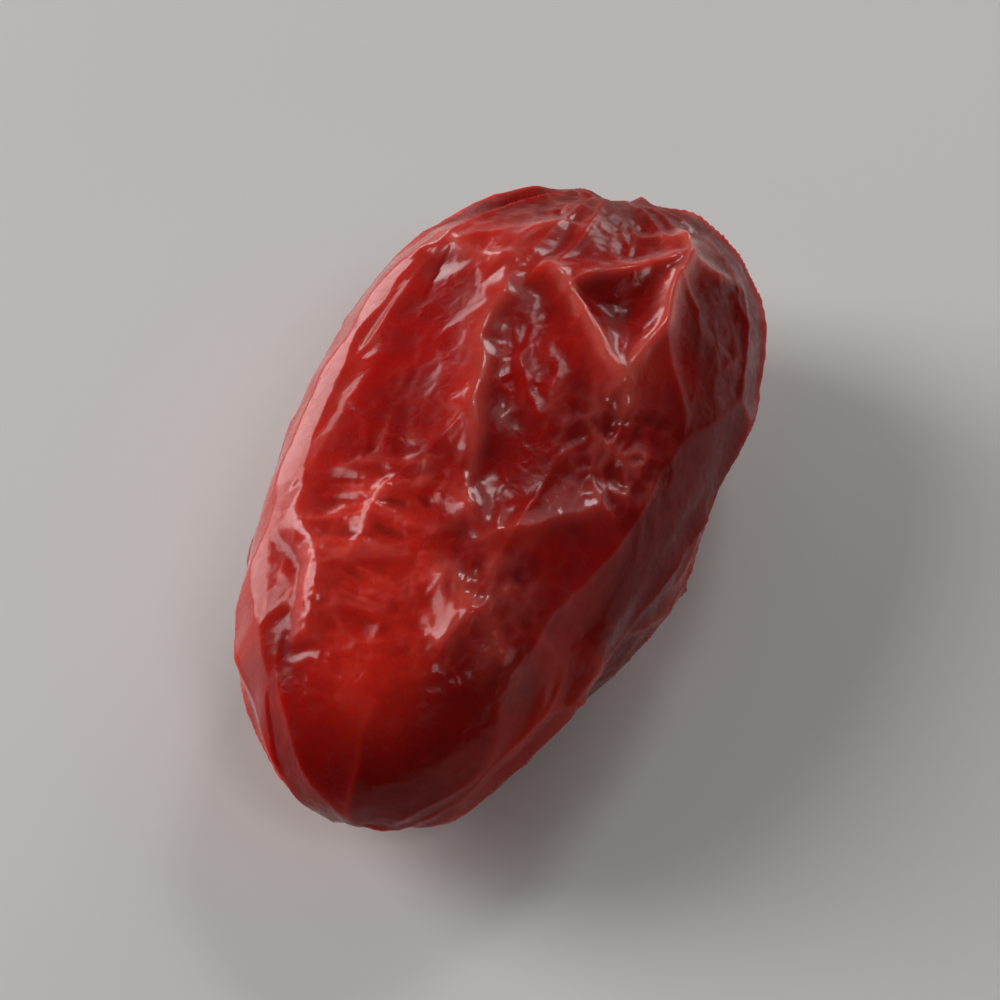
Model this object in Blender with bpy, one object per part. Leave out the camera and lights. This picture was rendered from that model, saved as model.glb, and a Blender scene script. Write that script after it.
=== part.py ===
"""A dried cranberry, lying on the side it dried on, with its wrinkled upper side showing.

The berry is one closed skin round one solid. The skin starts as a blunt egg that leans a little,
with its long axis along Y, its stem end at -Y and its flower end at +Y. The folds that give this
berry its character are named below, at their places on a chart of the skin. Wrinkles of two sizes
then run over the whole berry, and its own weight has pressed the lowest skin flat.
"""

import math
from collections import namedtuple

import bmesh
import bpy
import numpy as np
from mathutils import Vector, noise

MM = 0.001

# Driving dimensions
LENGTH = 16.5 * MM
WIDTH = 10.0 * MM
THICKNESS = 7.1 * MM
REST_DEPTH = 0.3 * MM  # how much of the lowest skin is pressed flat
SKIN_CUTS = 30  # cuts across each of the six patches that the skin is divided into

# The egg: how much each side grows towards the flower end, and its sideways lean per length
RIGHT_TAPER = 0.20
LEFT_TAPER = 0.05
DEPTH_TAPER = 0.05
LEAN = 0.15
# Powers of its outlines: 2 is an ellipse, and more is blunter
FLOWER_END_POWER = 2.45
STEM_END_POWER = 2.0
GIRTH_POWER = 2.25

# The chart is the skin unrolled from its top line: first the way round, to the right, then the way
# along, to the flower end. This radius turns the angle round into a length.
CHART_RADIUS = 4.2 * MM

Patch = namedtuple("Patch", "name place half_length half_width amount turn")
Ridge = namedtuple("Ridge", "name path height width uneven shoulder", defaults=[0])
Wrinkles = namedtuple("Wrinkles", "spacing stretch bend bend_spacing bowl border sharpness seed")


def on_chart(*places):
    """Places given in millimetres on the chart, in metres."""
    return np.array(places) * MM


# Each hollow's amount is its depth, and its turn is in degrees from lengthways
HOLLOWS = (
    Patch("right panel", on_chart(2.3, 0.0), 2.9 * MM, 1.6 * MM, 0.32 * MM, 0),
    Patch("left panel", on_chart(-1.8, -0.6), 4.6 * MM, 1.3 * MM, 0.10 * MM, 0),
    Patch("left groove", on_chart(-3.3, 0.6), 4.0 * MM, 0.5 * MM, 0.12 * MM, 7),
    Patch("lower right panel", on_chart(3.9, -4.6), 2.6 * MM, 1.5 * MM, 0.30 * MM, 10),
    Patch("left flank", on_chart(-7.2, 2.4), 3.2 * MM, 1.7 * MM, 0.50 * MM, 0),
    Patch("right flank", on_chart(7.4, 1.5), 4.2 * MM, 1.6 * MM, 0.40 * MM, 0),
    Patch("lower right flank", on_chart(6.9, -3.5), 2.8 * MM, 2.2 * MM, 0.50 * MM, 0),
    Patch("belly", on_chart(11.0, 1.2), 4.0 * MM, 2.1 * MM, 0.35 * MM, 0),
    Patch("left of the belly", on_chart(-9.6, -2.6), 3.6 * MM, 2.0 * MM, 0.45 * MM, 0),
)

LEFT_EDGE = on_chart(
    (-1.6, 4.0), (-2.0, 4.6), (-2.7, 4.6), (-3.1, 3.6), (-3.4, 2.0), (-3.55, 0.5), (-3.65, -0.9),
    (-3.7, -2.3), (-3.55, -3.6), (-3.2, -4.9), (-2.8, -6.2)
)
LEFT_INNER = on_chart(
    (-3.5, -2.2), (-2.9, -2.9), (-2.35, -3.5), (-2.0, -4.2), (-1.8, -5.0), (-1.75, -5.8)
)
# On the left edge's outer side the skin is pressed back into a long band that is flat across. It leans
# to the left, by this much at the berry's middle and by less for each length nearer the flower end.
LEFT_BAND = LEFT_EDGE - on_chart(0.45, 0)
BAND_LEAN = math.radians(34)
BAND_TURN = math.radians(1.35) / MM
BAND_REACH = 1.3 * MM  # how far from the left edge the pressing ends
BAND_CUT = 0.03 * MM  # how much further back than the skin's measured reach it is pressed
BAND_STATION = 0.4 * MM  # the reach is measured at places this far apart along the edge
BAND_STIFFNESS = 30 / MM  # the more, the nearer the measured reach is to the outermost skin
BAND_CALM = 0.7  # how much weaker the wrinkles are on the band
PUCKER = (-0.8, 3.9)
CENTRE_FOLD = on_chart(
    PUCKER, (-0.5, 3.0), (-0.7, 1.9), (-0.4, 0.6), (0.0, -0.6), (0.3, -1.8), (0.8, -3.0)
)
CENTRE_STEP = 0.12 * MM  # the skin left of the centre fold stands this much above its middle height
CENTRE_STEP_REACH = 1.9 * MM
CENTRE_STEP_WALL = 0.2 * MM
PIT_CORNERS = on_chart((0.35, 3.7), (2.2, 1.5), (2.0, 5.5))
PIT_DEPTH = 0.48 * MM
PIT_WALL = 0.55 * MM  # how far the pit's walls take to fall
PIT_ROUNDING = 0.16 * MM

PIT_LEFT_RIM = on_chart((-0.3, 4.4), (0.35, 3.7), (1.3, 2.5), (2.2, 1.5), (2.7, 0.7))
PIT_RIGHT_RIM = on_chart((1.9, 0.9), (2.2, 1.5), (2.25, 3.4), (2.0, 5.5), (1.5, 6.6))
PIT_FAR_RIM = on_chart((0.35, 3.7), (1.1, 4.7), (2.0, 5.5), (3.0, 5.8))
LEFT_PANEL_FOLD = on_chart((-1.3, -2.0), (-1.4, -2.6), (-1.5, -3.4))
PANEL_FOLD = on_chart((0.7, -3.3), (1.9, -2.3), (3.1, -1.0))
CROSSED_FOLD = on_chart((0.2, -3.6), (1.2, -4.4), (2.3, -5.4))
CROSSING_FOLD = on_chart((1.8, -3.5), (1.3, -4.5), (0.5, -5.4))

# How uneven a ridge is, as a share of its height, follows its two sizes, then its shoulder's width
RIDGES = (
    Ridge("left edge", LEFT_EDGE, 0.40 * MM, 0.20 * MM, 0.16, 2.1 * MM),
    Ridge("inside the left edge", LEFT_INNER, 0.24 * MM, 0.18 * MM, 0.16, 0.6 * MM),
    Ridge("centre fold", CENTRE_FOLD, 0.24 * MM, 0.15 * MM, 0.64),
    Ridge("pit rim, left", PIT_LEFT_RIM, 0.32 * MM, 0.18 * MM, 0.32),
    Ridge("pit rim, right", PIT_RIGHT_RIM, 0.33 * MM, 0.18 * MM, 0.32),
    Ridge("pit rim, far", PIT_FAR_RIM, 0.20 * MM, 0.17 * MM, 0.64),
    Ridge("pucker, left", on_chart(PUCKER, (-1.7, 4.3), (-2.4, 5.2)), 0.18 * MM, 0.18 * MM, 0.80),
    Ridge("pucker, far", on_chart(PUCKER, (-0.7, 4.9), (-0.2, 6.0)), 0.18 * MM, 0.18 * MM, 0.80),
    Ridge("left panel fold", LEFT_PANEL_FOLD, 0.13 * MM, 0.13 * MM, 0.64),
    Ridge("panel fold", PANEL_FOLD, 0.20 * MM, 0.20 * MM, 0.80),
    Ridge("crossed fold", CROSSED_FOLD, 0.13 * MM, 0.17 * MM, 0.80),
    Ridge("crossing fold", CROSSING_FOLD, 0.12 * MM, 0.17 * MM, 0.80),
)
FOLD_END = 0.12  # share of a fold's length over which each end sinks
RIDGE_END_HEIGHT = 0.25  # share of a ridge's height that is left at its tips
RIDGE_FOOT = 3.6  # how many times wider than its crest a ridge's broad foot is
RIDGE_FOOT_SHARE = 0.5  # share of a ridge's height that its foot makes
FOLD_WANDER = 0.22 * MM
FOLD_WANDER_SPACING = 1.3 * MM

# Wrinkles are bowls, one to each of the cells round scattered points, with creased borders between.
# A kind of wrinkle has its cells' spacing, how many times longer than wide they are, how far and
# over what distance they bend, the depth of a bowl and the height and sharpness of its border.
LONG_FOLDS = Wrinkles(2.5 * MM, 2.4, 1.3 * MM, 3.4 * MM, 0.42 * MM, 0.16 * MM, 6, 11)
WRINKLES = Wrinkles(1.25 * MM, 1.55, 0.6 * MM, 1.6 * MM, 0.20 * MM, 0.10 * MM, 8, 31)
MEAN_CELL = 0.4  # a bowl's usual level, in shares of the spacing, so that wrinkles add no bulk
WRINKLE_PATCH = 3.2 * MM  # how large the patches are where the wrinkles are deeper or shallower
BORDER_PATCH = 2.2 * MM  # and those where their borders stand up or sink
RIDGE_PATCH = 1.1 * MM  # and those where the named folds stand higher or lower
# The long folds run between two poles: the stem's pit, which lies this much below the near end, and
# the flower's scar, which lies as much above the far end
POLE_TILT = math.radians(20)
FLOWER_POLE = np.array([0.0, math.cos(POLE_TILT), math.sin(POLE_TILT)])
SCAR_RADIUS = 0.85 * MM
SCAR_DEPTH = 0.38 * MM
STEM_PIT_RADIUS = 0.75 * MM
STEM_PIT_DEPTH = 0.40 * MM
LIP_HEIGHT = 0.14 * MM
LIP_WIDTH = 0.26 * MM
# The share of the way to the other pole over which the long folds start from each pole
FLOWER_FOLD_START = 0.02
STEM_FOLD_START = 0.05
# How much weaker the wrinkles are between the named folds on top, and where the skin is smooth
TOP_CALM = 0.55
SMOOTH_CALM = 0.75
LONG_FOLD_CALM = 0.65  # the share of that which the long folds take on
SMOOTH_END_FROM = 4.9 * MM  # how far along towards the stem end the smooth skin starts
SMOOTH_END_FULL = 6.6 * MM
SMOOTH_FLANK = Patch("smooth right flank", on_chart(4.9, 0.0), 5.5 * MM, 1.9 * MM, 0.8, 0)


def angle_gap(a, b):
    """The turn from b to a, from minus half a turn to half a turn."""
    return (a - b + math.pi) % (2 * math.pi) - math.pi


def dome(distance):
    """1 at distance 0, falling smoothly to 0 at distance 1."""
    return np.clip(1 - distance * distance, 0, 1) ** 2


def crest(gap, width):
    """1 on a line, falling steeply to each side, with a tip that is only just rounded."""
    tip = 0.3 * width
    return np.exp((tip - np.hypot(gap, tip)) / width)


def rise(value, low, high):
    """0 below low, 1 above high, and smooth between."""
    share = np.clip((value - low) / (high - low), 0, 1)
    return share * share * (3 - 2 * share)


def scaled(points, spacing, seed):
    """The points measured in spacings, each seed in its own part of the noise."""
    shift = Vector((17.3, -9.1, 5.7)) * seed
    return (Vector(point) + shift for point in points / spacing)


def lumps(points, spacing, seed):
    """Smooth noise from about -1 to 1."""
    return np.array([noise.noise(point) for point in scaled(points, spacing, seed)])


def bend(points, reach, spacing, seed):
    """The points pushed about smoothly, so that straight borders bend."""
    pushes = [lumps(points, spacing, seed + axis) for axis in range(3)]
    return points + reach * np.stack(pushes, axis=1)


def cells(points, kind):
    """How far each point is from its cell's middle, and how near it is to the cell's border."""
    bent = bend(points, kind.bend, kind.bend_spacing, kind.seed)
    drawn_out = bent / np.array([1.0, kind.stretch, 1.0])
    places = scaled(drawn_out, kind.spacing, kind.seed + 3)
    nearest = np.array([noise.voronoi(place)[0][:2] for place in places])
    return nearest[:, 0] - MEAN_CELL, np.exp(kind.sharpness * (nearest[:, 0] - nearest[:, 1]))


def egg(directions):
    """The plump berry: points, outward normals, the place along from -1 to 1 and the angle round."""
    along = directions[:, 1]
    angle = np.arctan2(directions[:, 2], directions[:, 0])
    cosine, sine = np.cos(angle), np.sin(angle)
    power = STEM_END_POWER + (FLOWER_END_POWER - STEM_END_POWER) * (1 + along) / 2
    ring = np.clip(1 - np.abs(along) ** power, 0, 1) ** (1 / power)
    full = (np.abs(cosine) ** GIRTH_POWER + np.abs(sine) ** GIRTH_POWER) ** (-1 / GIRTH_POWER)
    side_taper = LEFT_TAPER + (RIGHT_TAPER - LEFT_TAPER) * (1 + cosine) / 2
    half_width = WIDTH / 2 * (1 + side_taper * along)
    half_depth = THICKNESS / 2 * (1 + DEPTH_TAPER * along)
    x = half_width * ring * full * cosine
    y = LENGTH / 2 * along
    z = half_depth * ring * full * sine
    normals = np.stack([x / half_width**2, y / (LENGTH / 2) ** 2, z / half_depth**2], axis=1)
    normals /= np.linalg.norm(normals, axis=1, keepdims=True)
    return np.stack([x + LEAN * y, y, z], axis=1), normals, along, angle


def measure_path(chart, path):
    """The distance to a path, which side of it each place is on, and the share of it run there."""
    legs = np.linalg.norm(np.diff(path, axis=0), axis=1)
    starts = np.concatenate([[0], np.cumsum(legs)])
    gaps, sides, shares = [], [], []
    for start, end, leg, before in zip(path[:-1], path[1:], legs, starts):
        run = (end - start) / leg
        offset = chart - start
        run_to = np.clip(offset @ run, 0, leg)
        side = run[0] * offset[:, 1] - run[1] * offset[:, 0]
        gaps.append(np.linalg.norm(offset - run_to[:, None] * run, axis=1))
        sides.append(np.sign(side))
        shares.append((before + run_to) / starts[-1])
    nearest = np.argmin(gaps, axis=0)
    pick = (nearest, np.arange(len(chart)))
    return np.array(gaps)[pick], np.array(sides)[pick], np.array(shares)[pick]


def patch_amount(chart, patch):
    """The patch's amount in its middle, falling smoothly to nothing at its oval edge."""
    offset = chart - patch.place
    cosine, sine = math.cos(math.radians(patch.turn)), math.sin(math.radians(patch.turn))
    lengthways = (offset[:, 1] * cosine + offset[:, 0] * sine) / patch.half_length
    across = (offset[:, 0] * cosine - offset[:, 1] * sine) / patch.half_width
    return patch.amount * dome(np.hypot(lengthways, across))


def between_ends(share):
    """1 along most of a path, falling smoothly to 0 at its two ends."""
    return rise(share, 0, FOLD_END) * rise(1 - share, 0, FOLD_END)


def ridge_height(chart, ridge, unevenness):
    """A sharp crest on a broad foot; a shoulder takes the place of both on the ridge's left side."""
    gap, side, share = measure_path(chart, ridge.path)
    height = ridge.height * (RIDGE_END_HEIGHT + (1 - RIDGE_END_HEIGHT) * between_ends(share))
    height *= 1 + ridge.uneven * unevenness
    foot = np.exp(-((gap / (RIDGE_FOOT * ridge.width)) ** 2))
    profile = (1 - RIDGE_FOOT_SHARE) * crest(gap, ridge.width) + RIDGE_FOOT_SHARE * foot
    if ridge.shoulder:
        profile = np.where(side > 0, profile, dome(gap / ridge.shoulder))
    return height * profile


def centre_step(chart):
    """The skin stands higher on the left of the centre fold than on its right."""
    gap, side, share = measure_path(chart, CENTRE_FOLD)
    step = np.tanh(gap / CENTRE_STEP_WALL) * dome(gap / CENTRE_STEP_REACH) * between_ends(share)
    return -CENTRE_STEP * side * step


def pit_depth(chart):
    """A three-sided pit with steep walls and rounded corners."""
    closeness = np.zeros(len(chart))
    for start, end in zip(PIT_CORNERS, np.roll(PIT_CORNERS, -1, axis=0)):
        run = (end - start) / np.linalg.norm(end - start)
        offset = chart - start
        inside = run[0] * offset[:, 1] - run[1] * offset[:, 0]
        closeness += np.exp(-np.maximum(inside, -6 * PIT_WALL) / PIT_ROUNDING)
    inside_all = -PIT_ROUNDING * np.log(closeness)
    return PIT_DEPTH * np.tanh(np.clip(inside_all, 0, None) / PIT_WALL)


def named_folds(chart, unevenness):
    relief = centre_step(chart) - pit_depth(chart)
    relief -= sum(patch_amount(chart, hollow) for hollow in HOLLOWS)
    return relief + sum(ridge_height(chart, ridge, unevenness) for ridge in RIDGES)


def liveliness(directions, chart):
    """1 where the skin wrinkles freely, and less on the smooth stem end and right flank."""
    not_beneath = rise(directions[:, 2], -0.5, -0.1)
    stem_end = rise(-chart[:, 1], SMOOTH_END_FROM, SMOOTH_END_FULL) * not_beneath
    return 1 - SMOOTH_CALM * np.maximum(stem_end, patch_amount(chart, SMOOTH_FLANK))


def long_folds(directions, lively):
    """Folds that run lengthways and gather at the two poles."""
    along = directions @ FLOWER_POLE
    upward = directions[:, 2] * FLOWER_POLE[1] - directions[:, 1] * FLOWER_POLE[2]
    turn = np.arctan2(upward, directions[:, 0])
    tube = np.stack(
        [CHART_RADIUS * np.cos(turn), along * LENGTH / 2, CHART_RADIUS * np.sin(turn)], axis=1
    )
    depth, border = cells(tube, LONG_FOLDS)
    relief = LONG_FOLDS.bowl * depth + LONG_FOLDS.border * border
    started = rise(1 - along, 0, 2 * FLOWER_FOLD_START) * rise(1 + along, 0, 2 * STEM_FOLD_START)
    return relief * (1 - LONG_FOLD_CALM * (1 - lively)) * started


def wrinkles(points, lively):
    depth, border = cells(points, WRINKLES)
    bowls = WRINKLES.bowl * depth * (0.6 + 0.5 * lumps(points, WRINKLE_PATCH, 51))
    stand = np.clip(0.4 + 1.3 * lumps(points, BORDER_PATCH, 52), -0.6, 1)
    return lively * (bowls + WRINKLES.border * border * stand)


def press_band(points, chart):
    """The skin, pressed back on the left edge's outer side into the long band."""
    gap, _, share = measure_path(chart, LEFT_EDGE)
    lean = BAND_LEAN - BAND_TURN * chart[:, 1]
    way = np.stack([-np.sin(lean), np.zeros(len(lean)), np.cos(lean)], axis=1)
    reach = (points * way).sum(axis=1)
    stations = np.arange(LEFT_EDGE[:, 1].min(), LEFT_EDGE[:, 1].max(), BAND_STATION)
    near = gap < BAND_REACH
    limits = []
    for station in stations:
        weight = np.exp(-(((chart[near, 1] - station) / BAND_STATION) ** 2))
        swollen = weight * np.exp(BAND_STIFFNESS * (reach[near] - reach[near].max()))
        limits.append(reach[near].max() + np.log(swollen.sum() / weight.sum()) / BAND_STIFFNESS)
    limit = np.interp(chart[:, 1], stations, limits) - BAND_CUT
    over = np.clip(reach - limit, 0, None) * dome(gap / BAND_REACH) ** 0.5 * between_ends(share)
    return points - way * over[:, None]


def lipped_dimple(points, pole, radius, depth):
    """An uneven dimple with a broken lip, round the point of the egg that lies towards the pole."""
    middle = egg(pole[None, :])[0]
    gap = np.linalg.norm(bend(points, 0.5 * radius, radius, 7) - middle, axis=1)
    lip = LIP_HEIGHT * np.clip(0.5 + 1.5 * lumps(points, 0.8 * radius, 8), 0, 1)
    return lip * crest(gap - radius, LIP_WIDTH) - depth * dome(gap / radius)


def skin(directions):
    """The berry's skin in each of these directions, set to its size and on its flat spot."""
    points, normals, along, angle = egg(directions)
    ring = np.sqrt(np.clip(1 - along * along, 0, 1))
    round_way = -angle_gap(angle, math.pi / 2) * CHART_RADIUS * ring
    chart = np.stack([round_way, along * LENGTH / 2], axis=1)
    wander = bend(points, FOLD_WANDER, FOLD_WANDER_SPACING, 5) - points
    lively = liveliness(directions, chart)
    on_top = rise(directions[:, 2], 0.1, 0.6)
    band = dome(measure_path(chart, LEFT_BAND)[0] / BAND_REACH)
    calmed = (1 - TOP_CALM * on_top) * (1 - BAND_CALM * band)
    unevenness = lumps(points, RIDGE_PATCH, 53)
    relief = named_folds(chart + wander[:, :2], unevenness)
    relief += (long_folds(directions, lively) + wrinkles(points, lively)) * calmed
    relief += lipped_dimple(points, FLOWER_POLE, SCAR_RADIUS, SCAR_DEPTH)
    relief += lipped_dimple(points, -FLOWER_POLE, STEM_PIT_RADIUS, STEM_PIT_DEPTH)
    points = press_band(points + normals * relief[:, None], chart)
    low, high = points.min(axis=0), points.max(axis=0)
    size = np.array([WIDTH, LENGTH, THICKNESS + REST_DEPTH])
    points = (points - (low + high) / 2) * size / (high - low)
    points[:, 2] = np.maximum(points[:, 2] + size[2] / 2 - REST_DEPTH, 0)
    return points


def make_skin_mesh(name, cuts):
    """A closed mesh of even quads, from a cube whose faces are cut and blown up to a ball."""
    ball = bmesh.new()
    bmesh.ops.create_cube(ball, size=2.0)
    bmesh.ops.subdivide_edges(ball, edges=ball.edges[:], cuts=cuts, use_grid_fill=True)
    mesh = bpy.data.meshes.new(name)
    ball.to_mesh(mesh)
    ball.free()
    corners = np.empty(3 * len(mesh.vertices))
    mesh.vertices.foreach_get("co", corners)
    even = np.tan(corners.reshape(-1, 3) * math.pi / 4)
    directions = even / np.linalg.norm(even, axis=1, keepdims=True)
    mesh.vertices.foreach_set("co", skin(directions).ravel())
    mesh.shade_smooth()
    mesh.update()
    return mesh


def make_skin_material():
    """Deep red, glossy and a little see-through."""
    material = bpy.data.materials.new("cranberry_skin")
    material.use_nodes = True
    shader = material.node_tree.nodes["Principled BSDF"]
    shader.inputs["Base Color"].default_value = (0.23, 0.012, 0.010, 1)
    shader.inputs["Metallic"].default_value = 0.0
    shader.inputs["Roughness"].default_value = 0.28
    shader.inputs["Subsurface Weight"].default_value = 0.6
    shader.inputs["Subsurface Radius"].default_value = (0.9, 0.06, 0.04)
    shader.inputs["Subsurface Scale"].default_value = MM
    return material


def clear_scene():
    for item in list(bpy.data.objects):
        bpy.data.objects.remove(item)


def main():
    clear_scene()
    mesh = make_skin_mesh("cranberry", SKIN_CUTS)
    mesh.materials.append(make_skin_material())
    bpy.context.scene.collection.objects.link(bpy.data.objects.new("cranberry", mesh))


main()
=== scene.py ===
import math
from collections import namedtuple

import bmesh
import bpy
import numpy as np
from bpy.props import FloatProperty, FloatVectorProperty, IntProperty, PointerProperty
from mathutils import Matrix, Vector, noise


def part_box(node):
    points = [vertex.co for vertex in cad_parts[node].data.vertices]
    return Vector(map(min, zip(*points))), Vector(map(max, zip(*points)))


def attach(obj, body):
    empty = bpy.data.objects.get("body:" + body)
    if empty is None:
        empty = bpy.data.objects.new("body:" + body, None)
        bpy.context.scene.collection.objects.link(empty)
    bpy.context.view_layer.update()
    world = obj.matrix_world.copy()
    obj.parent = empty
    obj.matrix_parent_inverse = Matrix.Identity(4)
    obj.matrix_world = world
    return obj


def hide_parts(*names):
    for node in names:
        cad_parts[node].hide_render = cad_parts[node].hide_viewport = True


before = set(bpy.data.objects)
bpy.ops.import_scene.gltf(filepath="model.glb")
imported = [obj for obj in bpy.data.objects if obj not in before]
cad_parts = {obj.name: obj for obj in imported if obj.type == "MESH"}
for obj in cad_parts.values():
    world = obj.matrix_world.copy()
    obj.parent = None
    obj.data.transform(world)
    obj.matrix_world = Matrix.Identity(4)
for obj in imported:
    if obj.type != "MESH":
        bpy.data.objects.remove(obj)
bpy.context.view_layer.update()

bl_info = {
    "name": "Dried Cranberry",
    "version": (1, 0, 0),
    "blender": (4, 5, 0),
    "location": "3D View > Sidebar > Cranberry",
    "description": "A dried cranberry with wrinkled, glossy, see-through skin, on a pale floor",
    "category": "Add Mesh",
}

MM = 0.001
NODE_LOW, NODE_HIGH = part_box("cranberry")
NODE_SIZE = NODE_HIGH - NODE_LOW

# The chart is the skin unrolled from its top line: first the way round, to the right, then the way
# along, to the flower end. This radius turns the angle round into a length.
CHART_RADIUS = 4.2 * MM

Patch = namedtuple("Patch", "name place half_length half_width amount turn")
Ridge = namedtuple("Ridge", "name path height width uneven pale shoulder", defaults=[0])
Wrinkles = namedtuple("Wrinkles", "spacing stretch bend bend_spacing bowl border sharpness seed")


def on_chart(*places):
    """Places given in millimetres on the chart, in metres."""
    return np.array(places) * MM


# Each hollow's amount is its depth, and its turn is in degrees from lengthways
HOLLOWS = (
    Patch("right panel", on_chart(2.3, 0.0), 2.9 * MM, 1.6 * MM, 0.32 * MM, 0),
    Patch("left panel", on_chart(-1.8, -0.6), 4.6 * MM, 1.3 * MM, 0.10 * MM, 0),
    Patch("left groove", on_chart(-3.3, 0.6), 4.0 * MM, 0.5 * MM, 0.12 * MM, 7),
    Patch("lower right panel", on_chart(3.9, -4.6), 2.6 * MM, 1.5 * MM, 0.30 * MM, 10),
    Patch("left flank", on_chart(-7.2, 2.4), 3.2 * MM, 1.7 * MM, 0.50 * MM, 0),
    Patch("right flank", on_chart(7.4, 1.5), 4.2 * MM, 1.6 * MM, 0.40 * MM, 0),
    Patch("lower right flank", on_chart(6.9, -3.5), 2.8 * MM, 2.2 * MM, 0.50 * MM, 0),
    Patch("belly", on_chart(11.0, 1.2), 4.0 * MM, 2.1 * MM, 0.35 * MM, 0),
    Patch("left of the belly", on_chart(-9.6, -2.6), 3.6 * MM, 2.0 * MM, 0.45 * MM, 0),
)

LEFT_EDGE = on_chart(
    (-1.6, 4.0), (-2.0, 4.6), (-2.7, 4.6), (-3.1, 3.6), (-3.4, 2.0), (-3.55, 0.5), (-3.65, -0.9),
    (-3.7, -2.3), (-3.55, -3.6), (-3.2, -4.9), (-2.8, -6.2)
)
LEFT_INNER = on_chart(
    (-3.5, -2.2), (-2.9, -2.9), (-2.35, -3.5), (-2.0, -4.2), (-1.8, -5.0), (-1.75, -5.8)
)
# On the left edge's outer side the skin is pressed back into a long band that is flat across. It leans
# to the left, by this much at the berry's middle and by less for each length nearer the flower end.
LEFT_BAND = LEFT_EDGE - on_chart(0.45, 0)
BAND_LEAN = math.radians(34)
BAND_TURN = math.radians(1.35) / MM
BAND_REACH = 1.3 * MM  # how far from the left edge the pressing ends
BAND_CUT = 0.03 * MM  # how much further back than the skin's measured reach it is pressed
BAND_STATION = 0.4 * MM  # the reach is measured at places this far apart along the edge
BAND_STIFFNESS = 30 / MM  # the more, the nearer the measured reach is to the outermost skin
BAND_CALM = 0.7  # how much weaker the wrinkles are on the band
PUCKER = (-0.8, 3.9)
CENTRE_FOLD = on_chart(
    PUCKER, (-0.5, 3.0), (-0.7, 1.9), (-0.4, 0.6), (0.0, -0.6), (0.3, -1.8), (0.8, -3.0)
)
CENTRE_STEP = 0.12 * MM  # the skin left of the centre fold stands this much above its middle height
CENTRE_STEP_REACH = 1.9 * MM
CENTRE_STEP_WALL = 0.2 * MM
PIT_CORNERS = on_chart((0.35, 3.7), (2.2, 1.5), (2.0, 5.5))
PIT_DEPTH = 0.48 * MM
PIT_WALL = 0.55 * MM  # how far the pit's walls take to fall
PIT_ROUNDING = 0.16 * MM

PIT_LEFT_RIM = on_chart((-0.3, 4.4), (0.35, 3.7), (1.3, 2.5), (2.2, 1.5), (2.7, 0.7))
PIT_RIGHT_RIM = on_chart((1.9, 0.9), (2.2, 1.5), (2.25, 3.4), (2.0, 5.5), (1.5, 6.6))
PIT_FAR_RIM = on_chart((0.35, 3.7), (1.1, 4.7), (2.0, 5.5), (3.0, 5.8))
LEFT_PANEL_FOLD = on_chart((-1.3, -2.0), (-1.4, -2.6), (-1.5, -3.4))
PANEL_FOLD = on_chart((0.7, -3.3), (1.9, -2.3), (3.1, -1.0))
CROSSED_FOLD = on_chart((0.2, -3.6), (1.2, -4.4), (2.3, -5.4))
CROSSING_FOLD = on_chart((1.8, -3.5), (1.3, -4.5), (0.5, -5.4))

# A ridge's height and width follow its path. Then come how uneven it is, as a share of its height,
# how pale its crest is painted, as a painted highlight, from 0 to 1, and for two of them the width of
# a shoulder on its left side.
RIDGES = (
    Ridge("left edge", LEFT_EDGE, 0.40 * MM, 0.20 * MM, 0.16, 0.0, 2.1 * MM),
    Ridge("inside the left edge", LEFT_INNER, 0.24 * MM, 0.18 * MM, 0.16, 0.1, 0.6 * MM),
    Ridge("centre fold", CENTRE_FOLD, 0.24 * MM, 0.15 * MM, 0.64, 0.35),
    Ridge("pit rim, left", PIT_LEFT_RIM, 0.32 * MM, 0.18 * MM, 0.32, 0.6),
    Ridge("pit rim, right", PIT_RIGHT_RIM, 0.33 * MM, 0.18 * MM, 0.32, 0.6),
    Ridge("pit rim, far", PIT_FAR_RIM, 0.20 * MM, 0.17 * MM, 0.64, 0.3),
    Ridge("pucker, left", on_chart(PUCKER, (-1.7, 4.3), (-2.4, 5.2)), 0.18 * MM, 0.18 * MM, 0.80, 0.2),
    Ridge("pucker, far", on_chart(PUCKER, (-0.7, 4.9), (-0.2, 6.0)), 0.18 * MM, 0.18 * MM, 0.80, 0.2),
    Ridge("left panel fold", LEFT_PANEL_FOLD, 0.13 * MM, 0.13 * MM, 0.64, 0.3),
    Ridge("panel fold", PANEL_FOLD, 0.20 * MM, 0.20 * MM, 0.80, 0.1),
    Ridge("crossed fold", CROSSED_FOLD, 0.13 * MM, 0.17 * MM, 0.80, 0.3),
    Ridge("crossing fold", CROSSING_FOLD, 0.12 * MM, 0.17 * MM, 0.80, 0.3),
)
GLINT_REACH = 0.24 * MM  # how far from a ridge's line its painted highlight, the pale crest, ends
FOLD_END = 0.12  # share of a fold's length over which each end sinks
RIDGE_END_HEIGHT = 0.25  # share of a ridge's height that is left at its tips
RIDGE_FOOT = 3.6  # how many times wider than its crest a ridge's broad foot is
RIDGE_FOOT_SHARE = 0.5  # share of a ridge's height that its foot makes
FOLD_WANDER = 0.22 * MM
FOLD_WANDER_SPACING = 1.3 * MM

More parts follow.
